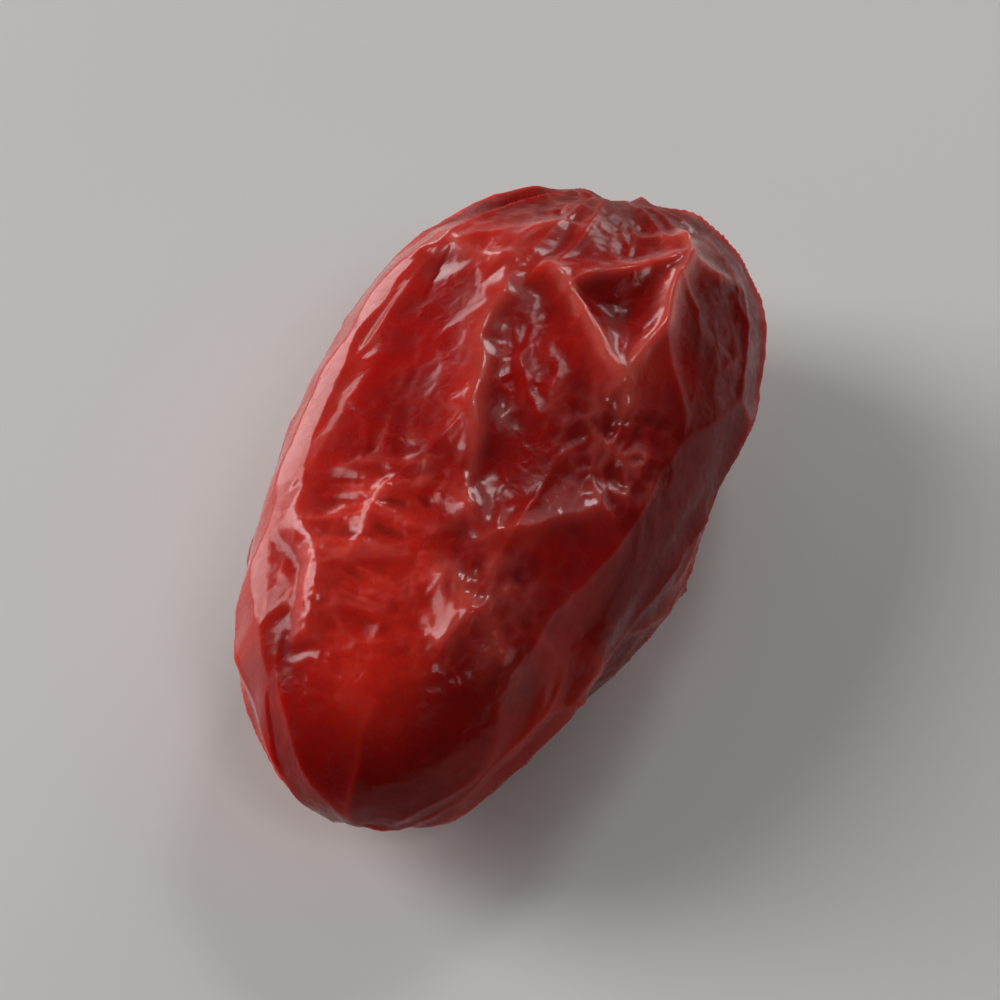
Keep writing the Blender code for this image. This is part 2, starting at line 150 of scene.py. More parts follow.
# Wrinkles are bowls, one to each of the cells round scattered points, with creased borders between.
# A kind of wrinkle has its cells' spacing, how many times longer they are each way, how far and
# over what distance they bend, the depth of a bowl, the height and sharpness of its border, and the
# seed of its own part of the noise.
LONG_FOLDS = Wrinkles(2.5 * MM, (1, 2.4, 1), 1.3 * MM, 3.4 * MM, 0.42 * MM, 0.16 * MM, 6, 11)
WRINKLES = Wrinkles(1.25 * MM, (1, 1.55, 1), 0.6 * MM, 1.6 * MM, 0.20 * MM, 0.10 * MM, 8, 31)
CROSS_WRINKLES = Wrinkles(0.42 * MM, (4.4, 1, 4.4), 0.34 * MM, 1.2 * MM, 0.12 * MM, 0.06 * MM, 6, 91)
FINE_WRINKLES = Wrinkles(0.50 * MM, (1, 1.25, 1), 0.22 * MM, 0.6 * MM, 0.08 * MM, 0.015 * MM, 6, 61)
MEAN_CELL = 0.4  # a bowl's usual level, in shares of the spacing, so that wrinkles add no bulk
WRINKLE_PATCH = 3.2 * MM  # how large the patches are where the wrinkles are deeper or shallower
BORDER_PATCH = 2.2 * MM  # and those where their borders stand up or sink
RIDGE_PATCH = 1.1 * MM  # and those where the named folds stand higher or lower
FINE_PATCH = 1.7 * MM  # and those where the fine wrinkles are deeper or shallower
# How deep the bowls, the borders and the fine wrinkles usually are in a patch, how far that varies
# from one patch to the next, and the least that it comes to
BOWL_USUAL, BOWL_VARIES = 0.6, 0.5
BORDER_USUAL, BORDER_VARIES, BORDER_LEAST = 0.4, 1.3, -0.6
FINE_USUAL, FINE_VARIES, FINE_LEAST = 0.4, 1.0, 0.05
FINE_IN_SMOOTH = 0.25  # the share of the fine wrinkles that is left where the skin is smoothest
FINE_BAND_CALM = 0.8  # how much weaker they are on the long band
FINE_BAND_REACH = 0.9 * MM
# The long folds run between two poles: the stem's pit, which lies this much below the near end, and
# the flower's scar, which lies as much above the far end
POLE_TILT = math.radians(20)
FLOWER_POLE = np.array([0.0, math.cos(POLE_TILT), math.sin(POLE_TILT)])
SCAR_RADIUS = 0.85 * MM
SCAR_DEPTH = 0.38 * MM
STEM_PIT_RADIUS = 0.75 * MM
STEM_PIT_DEPTH = 0.40 * MM
LIP_HEIGHT = 0.14 * MM
LIP_WIDTH = 0.26 * MM
# The share of the way to the other pole over which the long folds start from each pole
FLOWER_FOLD_START = 0.02
STEM_FOLD_START = 0.05
# How much weaker the wrinkles are between the named folds on top, and where the skin is smooth
TOP_CALM = 0.55
SMOOTH_CALM = 0.75
LONG_FOLD_CALM = 0.65  # the share of that which the long folds take on
SMOOTH_END_FROM = 4.9 * MM  # how far along towards the stem end the smooth skin starts
SMOOTH_END_FULL = 6.6 * MM
SMOOTH_FLANK = Patch("smooth right flank", on_chart(4.9, 0.0), 5.5 * MM, 1.9 * MM, 0.8, 0)
# Painted shade: where the skin takes on the stem end's deep red, and how much of it
PAINTED_SHADE = (
    Patch("darker right flank", on_chart(6.5, 0.5), 9.0 * MM, 4.2 * MM, 1.0, 0),
    Patch("darker far right", on_chart(3.4, 5.6), 3.4 * MM, 2.9 * MM, 1.0, 0),
    Patch("darker far left", on_chart(-2.6, 6.6), 1.7 * MM, 2.2 * MM, 0.6, 0),
    Patch("darker left flank", on_chart(-8.4, 0.0), 9.5 * MM, 4.2 * MM, 0.45, 0),
)
# Where a glow of light coming up through thin skin is painted into the colour
PAINTED_GLOW_PANEL = Patch("glowing left panel", on_chart(-0.8, -4.6), 4.8 * MM, 2.1 * MM, 1.0, -20)
# Where fine lines run across the skin, as a share of their usual depth
CROSSED_PANEL = Patch("crossed left panel", on_chart(-1.3, -3.4), 4.2 * MM, 2.2 * MM, 1.4, -10)
CROSS_LEVEL = 0.035 * MM  # taken off those lines, so that they don't raise the panel
# Where the fine wrinkles are deeper, as shares of their usual depth
NETTED = (
    Patch("netted right panel", on_chart(2.5, 0.2), 2.3 * MM, 2.0 * MM, 2.0, 0),
    Patch("round the crossed folds", on_chart(1.1, -4.5), 2.0 * MM, 2.0 * MM, 1.3, 0),
    Patch("far end", on_chart(0.3, 6.6), 1.8 * MM, 3.6 * MM, 0.4, 0),
)
# A film of dried juice makes the long band and the ridges shine: its coat, and how wide it is
FILM = 0.9
FILM_BAND_WIDTH = 0.7 * MM
FILM_RIDGE_WIDTH = 0.35 * MM

# Sizes of the patches and cells in the finishes, in millimetres
WIDE_MOTTLE = 3.1
NARROW_MOTTLE = 0.8
LEATHER_CELL = 0.34
FLOOR_MOTTLE = 40.0

FLOOR_GAP = 0.01 * MM  # keeps the floor clear of the berry's flat spot
MOST_TRIANGLES = 200_000


class CranberryForm(bpy.types.PropertyGroup):
    """Sizes of the berry and depths of its wrinkles."""

    length: FloatProperty(
        name="Length",
        description="From the stem end to the flower end",
        default=NODE_SIZE.y,
        min=MM,
        precision=5,
        unit="LENGTH",
    )
    width: FloatProperty(
        name="Width",
        description="Across the berry, side to side",
        default=NODE_SIZE.x,
        min=MM,
        precision=5,
        unit="LENGTH",
    )
    thickness: FloatProperty(
        name="Thickness",
        description="From the floor to the highest fold",
        default=NODE_SIZE.z,
        min=MM,
        precision=5,
        unit="LENGTH",
    )
    rest_depth: FloatProperty(
        name="Pressed Depth",
        description="How much of the lowest skin the berry's own weight has pressed flat",
        default=0.3 * MM,
        min=0,
        precision=5,
        unit="LENGTH",
    )
    lean: FloatProperty(
        name="Lean",
        description="How far the flower end leans to the right, for each unit of length",
        default=0.15,
        min=-0.5,
        max=0.5,
    )
    right_taper: FloatProperty(
        name="Right Taper",
        description="How much the right side grows towards the flower end",
        default=0.20,
        min=0,
        max=0.5,
        subtype="FACTOR",
    )
    left_taper: FloatProperty(
        name="Left Taper",
        description="How much the left side grows towards the flower end",
        default=0.05,
        min=0,
        max=0.5,
        subtype="FACTOR",
    )
    depth_taper: FloatProperty(
        name="Depth Taper",
        description="How much the berry thickens towards the flower end",
        default=0.05,
        min=0,
        max=0.5,
        subtype="FACTOR",
    )
    flower_end_power: FloatProperty(
        name="Flower End Bluntness",
        description="The power of the outline at the flower end: 2 is an ellipse, more is blunter",
        default=2.45,
        min=1.5,
        max=6,
    )
    stem_end_power: FloatProperty(
        name="Stem End Bluntness",
        description="The power of the outline at the stem end: 2 is an ellipse, more is blunter",
        default=2.0,
        min=1.5,
        max=6,
    )
    girth_power: FloatProperty(
        name="Girth Bluntness",
        description="The power of the cross-section: 2 is an ellipse, more is squarer",
        default=2.25,
        min=1.5,
        max=6,
    )
    fine_depth: FloatProperty(
        name="Fine Wrinkle Depth",
        description="How deep the two finest kinds of wrinkle are, beside their usual depth",
        default=0.75,
        min=0,
        max=3,
    )
    cuts: IntProperty(
        name="Cuts",
        description="Cuts across each of the six patches that the skin is divided into",
        default=127,
        min=8,
        max=127,
    )


class CranberryLook(bpy.types.PropertyGroup):
    """Colours and finish of the skin."""

    ruby: FloatVectorProperty(
        name="Ruby",
        description="The usual colour of the skin",
        subtype="COLOR",
        default=(0.50, 0.008, 0.006),
        min=0,
        max=1,
    )
    wine: FloatVectorProperty(
        name="Wine",
        description="The colour of darker patches",
        subtype="COLOR",
        default=(0.23, 0.004, 0.004),
        min=0,
        max=1,
    )
    # Painted shade: this dark red is blended down into the folds, the fine creases and the leathery
    # lines.
    painted_fold_shade: FloatVectorProperty(
        name="Valley",
        description="The colour down in the folds, painted there as shade",
        subtype="COLOR",
        default=(0.10, 0.002, 0.002),
        min=0,
        max=1,
    )
    # Lighter red on the crests: partly the thinner skin, partly a painted highlight.
    thin_skin_and_highlight: FloatVectorProperty(
        name="Thin Skin",
        description="The colour on crests, where the skin is stretched thin",
        subtype="COLOR",
        default=(0.58, 0.035, 0.022),
        min=0,
        max=1,
    )
    # Painted highlight: pale pink glints painted on the named ridges' crests and on the fine wrinkles'
    # crests.
    painted_glint: FloatVectorProperty(
        name="Painted Glint",
        description="A painted glint: the pale pink of crests, such as the pit's rims",
        subtype="COLOR",
        default=(0.80, 0.16, 0.12),
        min=0,
        max=1,
    )
    # Painted glow: an orange red that stands in for light coming up through the skin.
    painted_glow_colour: FloatVectorProperty(
        name="Painted Glow",
        description="The orange red of the left panel, a painted glow of light coming up through thin skin",
        subtype="COLOR",
        default=(0.76, 0.028, 0.013),
        min=0,
        max=1,
    )
    # A darker orange red round the flower end: its tone the skin's own, its darkness painted shade.
    flower_end: FloatVectorProperty(
        name="Flower End",
        description="The darker orange red round the flower end, partly painted shade",
        subtype="COLOR",
        default=(0.19, 0.010, 0.004),
        min=0,
        max=1,
    )
    # Deep red of the stem end; on the flanks and far shoulders the same colour is painted shade.
    stem_end: FloatVectorProperty(
        name="Stem End",
        description="The clear deep red of the smooth stem end, and the painted shade on the flanks and far shoulders",
        subtype="COLOR",
        default=(0.20, 0.003, 0.002),
        min=0,
        max=1,
    )
    see_through: FloatProperty(
        name="See-through Depth",
        description="How far red light travels under the skin",
        default=1.1 * MM,
        min=0,
        precision=5,
        unit="LENGTH",
    )
    roughness: FloatProperty(
        name="Roughness",
        description="Roughness of the skin where it is neither sticky nor dull",
        default=0.24,
        min=0,
        max=1,
        subtype="FACTOR",
    )


class CranberryStage(bpy.types.PropertyGroup):
    """The floor, the lights and the camera."""

    floor_colour: FloatVectorProperty(
        name="Floor Colour",
        description="The pale colour of the floor",
        subtype="COLOR",
        default=(0.80, 0.79, 0.77),
        min=0,
        max=1,
    )
    floor_width: FloatProperty(
        name="Floor Width",
        description="The side of the square floor",
        default=3.0,
        min=0.1,
        unit="LENGTH",
    )
    azimuth: FloatProperty(
        name="Camera Azimuth",
        description="How far round to the right of the stem end the camera stands",
        default=math.radians(12),
        subtype="ANGLE",
    )
    elevation: FloatProperty(
        name="Camera Elevation",
        description="How high above the horizon the camera stands",
        default=math.radians(56),
        subtype="ANGLE",
    )
    focal_length: FloatProperty(
        name="Focal Length",
        description="The focal length of the lens, in millimetres",
        default=150.0,
        min=10,
    )
    frame_width: FloatProperty(
        name="Frame Width",
        description="How much the picture takes in at the berry's middle",
        default=21.5 * MM,
        min=MM,
        precision=5,
        unit="LENGTH",
    )
    light_distance: FloatProperty(
        name="Light Distance",
        description="How far the lights stand from the berry",
        default=0.5,
        min=0.1,
        unit="LENGTH",
    )
    surroundings: FloatProperty(
        name="Surroundings",
        description="The strength of the even light from all round",
        default=0.06,
        min=0,
    )


def angle_gap(a, b):
    """The turn from b to a, from minus half a turn to half a turn."""
    return (a - b + math.pi) % (2 * math.pi) - math.pi


def dome(distance):
    """1 at distance 0, falling smoothly to 0 at distance 1."""
    return np.clip(1 - distance * distance, 0, 1) ** 2


def crest(gap, width):
    """1 on a line, falling steeply to each side, with a tip that is only just rounded."""
    tip = 0.3 * width
    return np.exp((tip - np.hypot(gap, tip)) / width)


def rise(value, low, high):
    """0 below low, 1 above high, and smooth between."""
    share = np.clip((value - low) / (high - low), 0, 1)
    return share * share * (3 - 2 * share)


def scaled(points, spacing, seed):
    """The points measured in spacings, each seed in its own part of the noise."""
    shift = Vector((17.3, -9.1, 5.7)) * seed
    return (Vector(point) + shift for point in points / spacing)


def lumps(points, spacing, seed):
    """Smooth noise from about -1 to 1."""
    return np.array([noise.noise(point) for point in scaled(points, spacing, seed)])


def bend(points, reach, spacing, seed):
    """The points pushed about smoothly, so that straight borders bend."""
    pushes = [lumps(points, spacing, seed + axis) for axis in range(3)]
    return points + reach * np.stack(pushes, axis=1)


def cells(points, kind):
    """How far each point is from its cell's middle, and how near it is to the cell's border."""
    bent = bend(points, kind.bend, kind.bend_spacing, kind.seed)
    drawn_out = bent / np.array(kind.stretch)
    places = scaled(drawn_out, kind.spacing, kind.seed + 3)
    nearest = np.array([noise.voronoi(place)[0][:2] for place in places])
    return nearest[:, 0] - MEAN_CELL, np.exp(kind.sharpness * (nearest[:, 0] - nearest[:, 1]))


def egg(directions, form):
    """The plump berry: points, outward normals, the place along from -1 to 1 and the angle round."""
    along = directions[:, 1]
    angle = np.arctan2(directions[:, 2], directions[:, 0])
    cosine, sine = np.cos(angle), np.sin(angle)
    power = form.stem_end_power + (form.flower_end_power - form.stem_end_power) * (1 + along) / 2
    ring = np.clip(1 - np.abs(along) ** power, 0, 1) ** (1 / power)
    girth = form.girth_power
    full = (np.abs(cosine) ** girth + np.abs(sine) ** girth) ** (-1 / girth)
    side_taper = form.left_taper + (form.right_taper - form.left_taper) * (1 + cosine) / 2
    half_width = form.width / 2 * (1 + side_taper * along)
    half_depth = form.thickness / 2 * (1 + form.depth_taper * along)
    x = half_width * ring * full * cosine
    y = form.length / 2 * along
    z = half_depth * ring * full * sine
    normals = np.stack([x / half_width**2, y / (form.length / 2) ** 2, z / half_depth**2], axis=1)
    normals /= np.linalg.norm(normals, axis=1, keepdims=True)
    return np.stack([x + form.lean * y, y, z], axis=1), normals, along, angle


def measure_path(chart, path):
    """The distance to a path, which side of it each place is on, and the share of it run there."""
    legs = np.linalg.norm(np.diff(path, axis=0), axis=1)
    starts = np.concatenate([[0], np.cumsum(legs)])
    gaps, sides, shares = [], [], []
    for start, end, leg, before in zip(path[:-1], path[1:], legs, starts):
        run = (end - start) / leg
        offset = chart - start
        run_to = np.clip(offset @ run, 0, leg)
        side = run[0] * offset[:, 1] - run[1] * offset[:, 0]
        gaps.append(np.linalg.norm(offset - run_to[:, None] * run, axis=1))
        sides.append(np.sign(side))
        shares.append((before + run_to) / starts[-1])
    nearest = np.argmin(gaps, axis=0)
    pick = (nearest, np.arange(len(chart)))
    return np.array(gaps)[pick], np.array(sides)[pick], np.array(shares)[pick]


def patch_amount(chart, patch):
    """The patch's amount in its middle, falling smoothly to nothing at its oval edge."""
    offset = chart - patch.place
    cosine, sine = math.cos(math.radians(patch.turn)), math.sin(math.radians(patch.turn))
    lengthways = (offset[:, 1] * cosine + offset[:, 0] * sine) / patch.half_length
    across = (offset[:, 0] * cosine - offset[:, 1] * sine) / patch.half_width
    return patch.amount * dome(np.hypot(lengthways, across))


def patches_amount(chart, patches):
    """The amounts of several patches together."""
    return sum(patch_amount(chart, patch) for patch in patches)


def between_ends(share):
    """1 along most of a path, falling smoothly to 0 at its two ends."""
    return rise(share, 0, FOLD_END) * rise(1 - share, 0, FOLD_END)


def ridge_height(chart, ridge, unevenness):
    """A sharp crest on a broad foot; a shoulder takes the place of both on the ridge's left side."""
    gap, side, share = measure_path(chart, ridge.path)
    height = ridge.height * (RIDGE_END_HEIGHT + (1 - RIDGE_END_HEIGHT) * between_ends(share))
    height *= 1 + ridge.uneven * unevenness
    foot = np.exp(-((gap / (RIDGE_FOOT * ridge.width)) ** 2))
    profile = (1 - RIDGE_FOOT_SHARE) * crest(gap, ridge.width) + RIDGE_FOOT_SHARE * foot
    if ridge.shoulder:
        profile = np.where(side > 0, profile, dome(gap / ridge.shoulder))
    return height * profile


def centre_step(chart):
    """The skin stands higher on the left of the centre fold than on its right."""
    gap, side, share = measure_path(chart, CENTRE_FOLD)
    step = np.tanh(gap / CENTRE_STEP_WALL) * dome(gap / CENTRE_STEP_REACH) * between_ends(share)
    return -CENTRE_STEP * side * step


def pit_depth(chart):
    """A three-sided pit with steep walls and rounded corners."""
    closeness = np.zeros(len(chart))
    for start, end in zip(PIT_CORNERS, np.roll(PIT_CORNERS, -1, axis=0)):
        run = (end - start) / np.linalg.norm(end - start)
        offset = chart - start
        inside = run[0] * offset[:, 1] - run[1] * offset[:, 0]
        closeness += np.exp(-np.maximum(inside, -6 * PIT_WALL) / PIT_ROUNDING)
    inside_all = -PIT_ROUNDING * np.log(closeness)
    return PIT_DEPTH * np.tanh(np.clip(inside_all, 0, None) / PIT_WALL)


def liveliness(directions, chart):
    """1 where the skin wrinkles freely, and less on the smooth stem end and right flank."""
    not_beneath = rise(directions[:, 2], -0.5, -0.1)
    stem_end = rise(-chart[:, 1], SMOOTH_END_FROM, SMOOTH_END_FULL) * not_beneath
    return 1 - SMOOTH_CALM * np.maximum(stem_end, patch_amount(chart, SMOOTH_FLANK))


def long_folds(directions, lively, form):
    """Folds that run lengthways and gather at the two poles."""
    along = directions @ FLOWER_POLE
    upward = directions[:, 2] * FLOWER_POLE[1] - directions[:, 1] * FLOWER_POLE[2]
    turn = np.arctan2(upward, directions[:, 0])
    tube = np.stack(
        [CHART_RADIUS * np.cos(turn), along * form.length / 2, CHART_RADIUS * np.sin(turn)], axis=1
    )
    depth, border = cells(tube, LONG_FOLDS)
    relief = LONG_FOLDS.bowl * depth + LONG_FOLDS.border * border
    started = rise(1 - along, 0, 2 * FLOWER_FOLD_START) * rise(1 + along, 0, 2 * STEM_FOLD_START)
    return relief * (1 - LONG_FOLD_CALM * (1 - lively)) * started


def wrinkles(points, lively):
    depth, border = cells(points, WRINKLES)
    bowls = WRINKLES.bowl * depth * (BOWL_USUAL + BOWL_VARIES * lumps(points, WRINKLE_PATCH, 51))
    stand = np.clip(BORDER_USUAL + BORDER_VARIES * lumps(points, BORDER_PATCH, 52), BORDER_LEAST, 1)
    return lively * (bowls + WRINKLES.border * border * stand)


def fine_wrinkles(points, chart, lively, band_gap):
    """The two finest kinds: lines across the left panel, and small leathery cells nearly all over."""
    depth, border = cells(points, CROSS_WRINKLES)
    lines = CROSS_WRINKLES.bowl * depth + CROSS_WRINKLES.border * border - CROSS_LEVEL
    relief = patch_amount(chart, CROSSED_PANEL) * lines
    depth, border = cells(points, FINE_WRINKLES)
    some = np.clip(FINE_USUAL + FINE_VARIES * lumps(points, FINE_PATCH, 81), FINE_LEAST, 1)
    some *= FINE_IN_SMOOTH + (1 - FINE_IN_SMOOTH) * lively
    some *= 1 - FINE_BAND_CALM * dome(band_gap / FINE_BAND_REACH)
    some += patches_amount(chart, NETTED)
    return relief + some * (FINE_WRINKLES.bowl * depth + FINE_WRINKLES.border * border)


def press_band(points, chart):
    """The skin, pressed back on the left edge's outer side into the long band."""
    gap, _, share = measure_path(chart, LEFT_EDGE)
    lean = BAND_LEAN - BAND_TURN * chart[:, 1]
    way = np.stack([-np.sin(lean), np.zeros(len(lean)), np.cos(lean)], axis=1)
    reach = (points * way).sum(axis=1)
    stations = np.arange(LEFT_EDGE[:, 1].min(), LEFT_EDGE[:, 1].max(), BAND_STATION)
    near = gap < BAND_REACH
    limits = []
    for station in stations:
        weight = np.exp(-(((chart[near, 1] - station) / BAND_STATION) ** 2))
        swollen = weight * np.exp(BAND_STIFFNESS * (reach[near] - reach[near].max()))
        limits.append(reach[near].max() + np.log(swollen.sum() / weight.sum()) / BAND_STIFFNESS)
    limit = np.interp(chart[:, 1], stations, limits) - BAND_CUT
    over = np.clip(reach - limit, 0, None) * dome(gap / BAND_REACH) ** 0.5 * between_ends(share)
    return points - way * over[:, None]


def lipped_dimple(points, pole, radius, depth, form):
    """An uneven dimple with a broken lip, round the point of the egg that lies towards the pole."""
    middle = egg(pole[None, :], form)[0]
    gap = np.linalg.norm(bend(points, 0.5 * radius, radius, 7) - middle, axis=1)
    lip = LIP_HEIGHT * np.clip(0.5 + 1.5 * lumps(points, 0.8 * radius, 8), 0, 1)
    return lip * crest(gap - radius, LIP_WIDTH) - depth * dome(gap / radius)


def skin(directions, form):
    """The berry's skin in each of these directions, with what its colours follow at each point."""
    points, normals, along, angle = egg(directions, form)
    ring = np.sqrt(np.clip(1 - along * along, 0, 1))
    round_way = -angle_gap(angle, math.pi / 2) * CHART_RADIUS * ring
    chart = np.stack([round_way, along * form.length / 2], axis=1)
    wander = bend(points, FOLD_WANDER, FOLD_WANDER_SPACING, 5) - points
    wandered = chart + wander[:, :2]
    lively = liveliness(directions, chart)
    on_top = rise(directions[:, 2], 0.1, 0.6)

    unevenness = lumps(points, RIDGE_PATCH, 53)
    folds = sum(ridge_height(wandered, ridge, unevenness) for ridge in RIDGES)
    folds += centre_step(wandered)
    band_gap = measure_path(chart, LEFT_BAND)[0]
    calmed = (1 - TOP_CALM * on_top) * (1 - BAND_CALM * dome(band_gap / BAND_REACH))
    folds += (long_folds(directions, lively, form) + wrinkles(points, lively)) * calmed
    sunken = pit_depth(wandered)
    hollows = patches_amount(wandered, HOLLOWS) + sunken
    dimples = lipped_dimple(points, FLOWER_POLE, SCAR_RADIUS, SCAR_DEPTH, form)
    dimples += lipped_dimple(points, -FLOWER_POLE, STEM_PIT_RADIUS, STEM_PIT_DEPTH, form)
    fine = form.fine_depth * fine_wrinkles(points, chart, lively, band_gap)

    film = FILM * np.exp(-((band_gap / FILM_BAND_WIDTH) ** 2))
    # The pale crest on each ridge is a painted highlight.
    pale = np.zeros(len(along))
    for ridge in RIDGES[1:]:
        gap, _, share = measure_path(wandered, ridge.path)
        film = np.maximum(film, FILM * crest(gap, FILM_RIDGE_WIDTH))
        pale = np.maximum(pale, ridge.pale * dome(gap / GLINT_REACH) * between_ends(share))
    relief = folds - hollows + dimples + fine
    points = press_band(points + normals * relief[:, None], chart)
    low, high = points.min(axis=0), points.max(axis=0)
    size = np.array([form.width, form.length, form.thickness + form.rest_depth])
    points = (points - (low + high) / 2) * size / (high - low)
    points[:, 2] = np.maximum(points[:, 2] + size[2] / 2 - form.rest_depth, 0)
    marks = {
        "folds": (folds - sunken + dimples) / MM,
        "fine": fine / MM,
        "along": along,
        "calm": 1 - lively,
        "film": film,
        # pale carries the painted highlight on the ridges' crests
        "pale": pale,
        # darker carries the painted shade on the flanks and far shoulders
        "darker": patches_amount(chart, PAINTED_SHADE),
        # glow carries the painted glow of the left panel
        "glow": patch_amount(chart, PAINTED_GLOW_PANEL),
        "netted": patches_amount(chart, NETTED),
    }
    return points, marks


def make_skin_mesh(name, form):
    """A closed mesh of even quads, from a cube whose faces are cut and blown up to a ball."""
    ball = bmesh.new()
    bmesh.ops.create_cube(ball, size=2.0)
    bmesh.ops.subdivide_edges(ball, edges=ball.edges[:], cuts=form.cuts, use_grid_fill=True)
    mesh = bpy.data.meshes.new(name)
    ball.to_mesh(mesh)
    ball.free()
    corners = np.empty(3 * len(mesh.vertices))
    mesh.vertices.foreach_get("co", corners)
    even = np.tan(corners.reshape(-1, 3) * math.pi / 4)
    directions = even / np.linalg.norm(even, axis=1, keepdims=True)
    points, marks = skin(directions, form)
    middle = (NODE_LOW + NODE_HIGH) / 2
    points += np.array([middle.x, middle.y, NODE_LOW.z])
    mesh.vertices.foreach_set("co", points.ravel())
    for mark, values in marks.items():
        mesh.attributes.new(mark, "FLOAT", "POINT").data.foreach_set("value", values)
    mesh.shade_smooth()
    mesh.update()
    return mesh


def add_node(tree, kind, **settings):
    node = tree.nodes.new(kind)
    for name, value in settings.items():
        setattr(node, name, value)
    return node


def feed(tree, socket, value):
    """Sets a socket to a plain value, or links it to another node's output."""
    if isinstance(value, bpy.types.NodeSocket):
        tree.links.new(value, socket)
    else:
        socket.default_value = value


def calculate(tree, operation, first, second):
    node = add_node(tree, "ShaderNodeMath", operation=operation)
    feed(tree, node.inputs[0], first)
    feed(tree, node.inputs[1], second)
    return node.outputs[0]


def remap(tree, value, low, high, to_low=0.0, to_high=1.0):
    """A value between low and high brought smoothly between two others, and held there."""
    node = add_node(tree, "ShaderNodeMapRange", interpolation_type="SMOOTHSTEP")
    feed(tree, node.inputs["Value"], value)
    node.inputs["From Min"].default_value = low
    node.inputs["From Max"].default_value = high
    node.inputs["To Min"].default_value = to_low
    node.inputs["To Max"].default_value = to_high
    return node.outputs["Result"]


def blend_colours(tree, share, first, second):
    node = add_node(tree, "ShaderNodeMix", data_type="RGBA", blend_type="MIX")
    feed(tree, node.inputs["Factor"], share)
    feed(tree, node.inputs["A"], (*first, 1) if isinstance(first, tuple) else first)
    feed(tree, node.inputs["B"], (*second, 1) if isinstance(second, tuple) else second)
    return node.outputs["Result"]


def mark_of_mesh(tree, name):
    return add_node(tree, "ShaderNodeAttribute", attribute_name=name).outputs["Fac"]


def place_in_millimetres(tree):
    """Where the point is on the object, in millimetres."""
    place = add_node(tree, "ShaderNodeTexCoord").outputs["Object"]
    scale = add_node(tree, "ShaderNodeVectorMath", operation="SCALE")
    tree.links.new(place, scale.inputs[0])
    scale.inputs["Scale"].default_value = 1 / MM
    return scale.outputs[0]


def group_with(name, inputs, outputs):
    """An empty shader group with these named sockets, and its inner ends."""
    group = bpy.data.node_groups.new(name, "ShaderNodeTree")
    for label, kind, default in inputs:
        socket = group.interface.new_socket(label, in_out="INPUT", socket_type=kind)
        if default is not None:
            socket.default_value = default
    for label in outputs:
        group.interface.new_socket(label, in_out="OUTPUT", socket_type="NodeSocketFloat")
    return group, group.nodes.new("NodeGroupInput"), group.nodes.new("NodeGroupOutput")


def make_mottle_group():
    """Soft uneven patches: a mask from 0 to 1."""
    group, ends_in, ends_out = group_with(
        "soft_mottle",
        (("Place", "NodeSocketVector", None), ("Size", "NodeSocketFloat", 1.0)),
        ("Mask",),
    )
    scale = calculate(group, "DIVIDE", 1.0, ends_in.outputs["Size"])
    texture = add_node(group, "ShaderNodeTexNoise")
    texture.inputs["Detail"].default_value = 3.0
    texture.inputs["Roughness"].default_value = 0.55
    group.links.new(ends_in.outputs["Place"], texture.inputs["Vector"])
    group.links.new(scale, texture.inputs["Scale"])
    group.links.new(remap(group, texture.outputs["Fac"], 0.32, 0.68), ends_out.inputs["Mask"])
    return group


def make_crease_group():
    """Tiny leathery cells: their height, and a mask of the lines between them."""
    group, ends_in, ends_out = group_with(
        "leather_creases",
        (("Place", "NodeSocketVector", None), ("Size", "NodeSocketFloat", 0.3)),
        ("Height", "Lines"),
    )
    scale = calculate(group, "DIVIDE", 1.0, ends_in.outputs["Size"])
    wave = add_node(group, "ShaderNodeTexNoise")
    wave.inputs["Detail"].default_value = 2.0
    group.links.new(ends_in.outputs["Place"], wave.inputs["Vector"])
    group.links.new(scale, wave.inputs["Scale"])
    push = add_node(group, "ShaderNodeVectorMath", operation="MULTIPLY_ADD")
    group.links.new(wave.outputs["Color"], push.inputs[0])
    push.inputs[1].default_value = (0.35, 0.35, 0.35)
    group.links.new(ends_in.outputs["Place"], push.inputs[2])
    cell = add_node(group, "ShaderNodeTexVoronoi", feature="DISTANCE_TO_EDGE")
    group.links.new(push.outputs[0], cell.inputs["Vector"])
    group.links.new(scale, cell.inputs["Scale"])
    distance = cell.outputs["Distance"]
    group.links.new(remap(group, distance, 0.0, 0.35), ends_out.inputs["Height"])
    group.links.new(remap(group, distance, 0.0, 0.12, 1.0, 0.0), ends_out.inputs["Lines"])
    return group


def use_group(tree, group, place, size):
    node = add_node(tree, "ShaderNodeGroup", node_tree=group)
    feed(tree, node.inputs["Place"], place)
    node.inputs["Size"].default_value = size
    return node


def raise_by(tree, height, distance, strength):
    """The normal over a bump that is this distance high, in metres, where the height is 1."""
    node = add_node(tree, "ShaderNodeBump")
    feed(tree, node.inputs["Height"], height)
    node.inputs["Distance"].default_value = distance
    node.inputs["Strength"].default_value = strength
    return node.outputs["Normal"]


